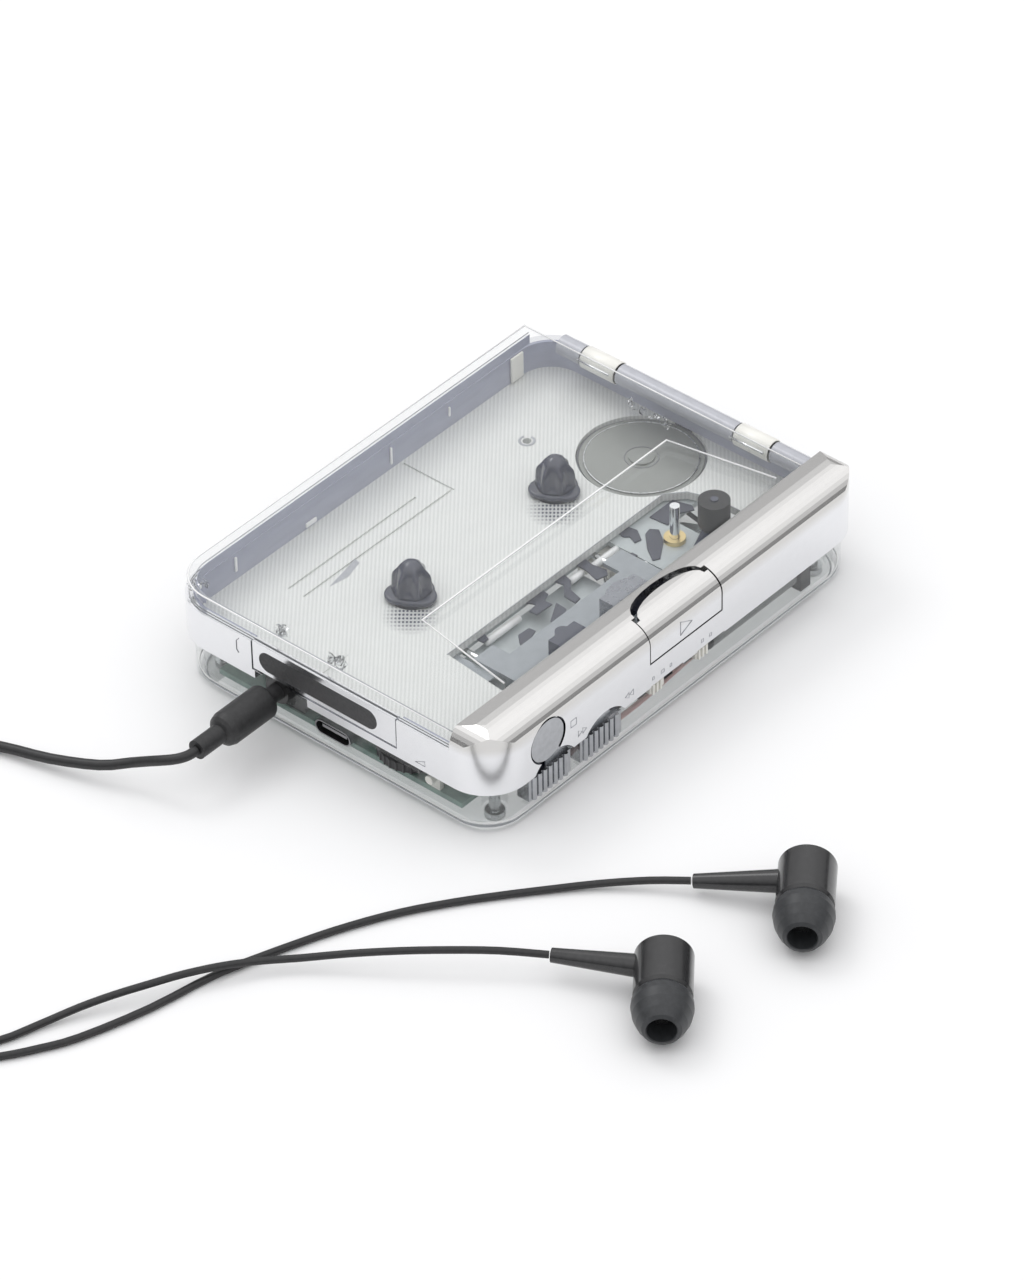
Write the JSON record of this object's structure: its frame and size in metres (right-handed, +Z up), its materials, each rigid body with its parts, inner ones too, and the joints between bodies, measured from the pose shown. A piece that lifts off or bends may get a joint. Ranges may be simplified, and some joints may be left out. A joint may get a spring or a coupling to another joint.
{
  "type": "portable cassette player",
  "caption": "Pocket-size cassette player with a clear lid and case, silver frame, belt-driven mechanism, piano-style buttons along one side and a pair of wired earphones plugged in.",
  "frame": {"origin": "centre of the player's flat base, on the surface it lies on", "axes": "+X along the player's length towards the lid's hinge, the headphone jack on the -X end; +Y towards the back, the buttons on the -Y side; +Z up out of the lid"},
  "size_m": [0.2223, 0.1782, 0.025],
  "materials": {
    "clear_plastic": "clear moulded polycarbonate",
    "lid_plastic": "clear moulded polycarbonate",
    "well_plastic": "clear moulded plastic, faintly blue",
    "silver_plate": "satin silver plating on plastic",
    "deck_plastic": "pale grey, very finely ribbed",
    "steel": "plain steel",
    "motor_steel": "dull zinc-plated steel",
    "black_rubber": "matt soft black",
    "black_gloss": "glossy black",
    "cord_rubber": "smooth black cord",
    "navy_plastic": "dark blue-grey moulded plastic",
    "bridge_metal": "pressed steel, blue-grey",
    "chrome": "polished",
    "key_chrome": "dark chrome plating on plastic",
    "white_plastic": "ivory moulded plastic",
    "black_plastic": "black",
    "board_green": "green solder mask",
    "port_steel": "stamped steel",
    "battery_wrap": "grey shrink wrap",
    "red_wire": "red insulation",
    "brass": "turned",
    "flywheel_metal": "turned"
  },
  "bodies": {
    "case": {"bottom_case": "clear_plastic", "mid_frame": "silver_plate", "well_frame": "well_plastic", "deck_plate": "deck_plastic", "chassis_plate": "steel", "hinge_rail": "clear_plastic", "hinge_pins": "steel", "button_guides": "navy_plastic", "switch_bodies": "black_plastic", "volume_pot": "black_plastic", "main_board": "board_green", "board_chips": "black_plastic", "headphone_jack": "black_gloss", "usb_port": "port_steel", "status_led": "white_plastic", "battery": "battery_wrap", "battery_strap": "black_plastic", "red_wire": "red_wire", "black_wire": "cord_rubber", "motor": "motor_steel", "drive_belt": "black_rubber", "capstan_bearing": "brass", "idler_post": "steel", "guide_rod": "steel", "case_screws": "steel", "ear_plug": "black_gloss", "cord_main": "cord_rubber", "cord_coil": "cord_rubber", "cord_splitter": "cord_rubber", "lead_left": "cord_rubber", "lead_right": "cord_rubber", "earpiece_left": "black_gloss", "earpiece_right": "black_gloss", "ear_tips": "black_rubber"},
    "lid_body": {"lid": "lid_plastic", "lid_tab": "silver_plate", "grip_strip": "black_rubber"},
    "play_body": {"play_button": "silver_plate", "play_lever": "navy_plastic"},
    "stop_body": {"stop_button": "key_chrome"},
    "rewind_body": {"rewind_button": "key_chrome"},
    "forward_body": {"forward_button": "key_chrome"},
    "mode_body": {"mode_switch": "white_plastic"},
    "tape_body": {"tape_switch": "white_plastic"},
    "volume_body": {"volume_wheel": "black_plastic"},
    "flywheel_body": {"flywheel": "flywheel_metal", "capstan": "steel", "flywheel_pinion": "white_plastic"},
    "motor_rotor": {"motor_shaft": "steel", "motor_pulley": "brass"},
    "idler_body": {"idler_gear": "white_plastic"},
    "take_up_body": {"take_up_gear": "navy_plastic", "take_up_spindle": "navy_plastic"},
    "supply_body": {"supply_disc": "navy_plastic", "supply_spindle": "navy_plastic"},
    "bridge_body": {"head_bridge": "bridge_metal", "play_head": "chrome", "erase_head": "navy_plastic"},
    "pinch_arm_body": {"pinch_arm": "navy_plastic"},
    "pinch_roller_body": {"pinch_roller": "black_rubber"}
  },
  "joints": [
    {"name": "lid_hinge", "type": "hinge", "parent": "case", "child": "lid_body", "pos_m": [0.0519, 0, 0.0203], "axis": [0, 1, 0], "range_deg": [0, 85]},
    {"name": "play_press", "type": "hinge", "parent": "case", "child": "play_body", "pos_m": [0.0005, -0.0385, 0.0144], "axis": [1, 0, 0], "range_deg": [-5, 0], "stiffness_Nm_per_rad": 0.004, "springref_deg": 5.73},
    {"name": "stop_press", "type": "slide", "parent": "case", "child": "stop_body", "axis": [0, 1, 0], "range_m": [0, 0.0014], "stiffness_N_per_m": 600, "springref_m": -0.001},
    {"name": "rewind_press", "type": "slide", "parent": "case", "child": "rewind_body", "axis": [0, 1, 0], "range_m": [0, 0.0012], "stiffness_N_per_m": 600, "springref_m": -0.001},
    {"name": "forward_press", "type": "slide", "parent": "case", "child": "forward_body", "axis": [0, 1, 0], "range_m": [0, 0.0012], "stiffness_N_per_m": 600, "springref_m": -0.001},
    {"name": "mode_slide", "type": "slide", "parent": "case", "child": "mode_body", "axis": [1, 0, 0], "range_m": [0, 0.0042]},
    {"name": "tape_slide", "type": "slide", "parent": "case", "child": "tape_body", "axis": [1, 0, 0], "range_m": [0, 0.0032]},
    {"name": "volume_turn", "type": "hinge", "parent": "case", "child": "volume_body", "pos_m": [-0.0477, -0.0148, 0.0066], "axis": [0, 0, 1], "range_deg": [-270, 0]},
    {"name": "flywheel_turn", "type": "hinge", "parent": "case", "child": "flywheel_body", "pos_m": [0.027, -0.0165, 0.0036], "axis": [0, 0, 1], "continuous": true},
    {"name": "motor_turn", "type": "hinge", "parent": "case", "child": "motor_rotor", "pos_m": [0.0414, 0.004, 0.0032], "axis": [0, 0, 1], "continuous": true},
    {"name": "idler_turn", "type": "hinge", "parent": "case", "child": "idler_body", "pos_m": [0.02022, -0.00593, 0.0084], "axis": [0, 0, 1], "continuous": true},
    {"name": "take_up_turn", "type": "hinge", "parent": "case", "child": "take_up_body", "pos_m": [0.02225, 0.01, 0.0084], "axis": [0, 0, 1], "continuous": true},
    {"name": "supply_turn", "type": "hinge", "parent": "case", "child": "supply_body", "pos_m": [-0.02025, 0.01, 0.0084], "axis": [0, 0, 1], "continuous": true},
    {"name": "bridge_slide", "type": "slide", "parent": "case", "child": "bridge_body", "axis": [0, 1, 0], "range_m": [0, 0.0036]},
    {"name": "pinch_turn", "type": "hinge", "parent": "case", "child": "pinch_arm_body", "pos_m": [0.021, -0.0264, 0.0132], "axis": [0, 0, 1], "range_deg": [0, 15]},
    {"name": "roller_turn", "type": "hinge", "parent": "pinch_arm_body", "child": "pinch_roller_body", "pos_m": [0.033, -0.0215, 0.017], "axis": [0, 0, 1], "continuous": true}
  ],
  "couplings": [
    {"joint": "motor_turn", "follows": "flywheel_turn", "ratio": 4.4333},
    {"joint": "idler_turn", "follows": "flywheel_turn", "ratio": -0.38889},
    {"joint": "take_up_turn", "follows": "flywheel_turn", "ratio": 0.5},
    {"joint": "play_press", "follows": "bridge_slide", "rad_per_m": -24.241},
    {"joint": "pinch_turn", "follows": "bridge_slide", "rad_per_m": 72.722}
  ]
}
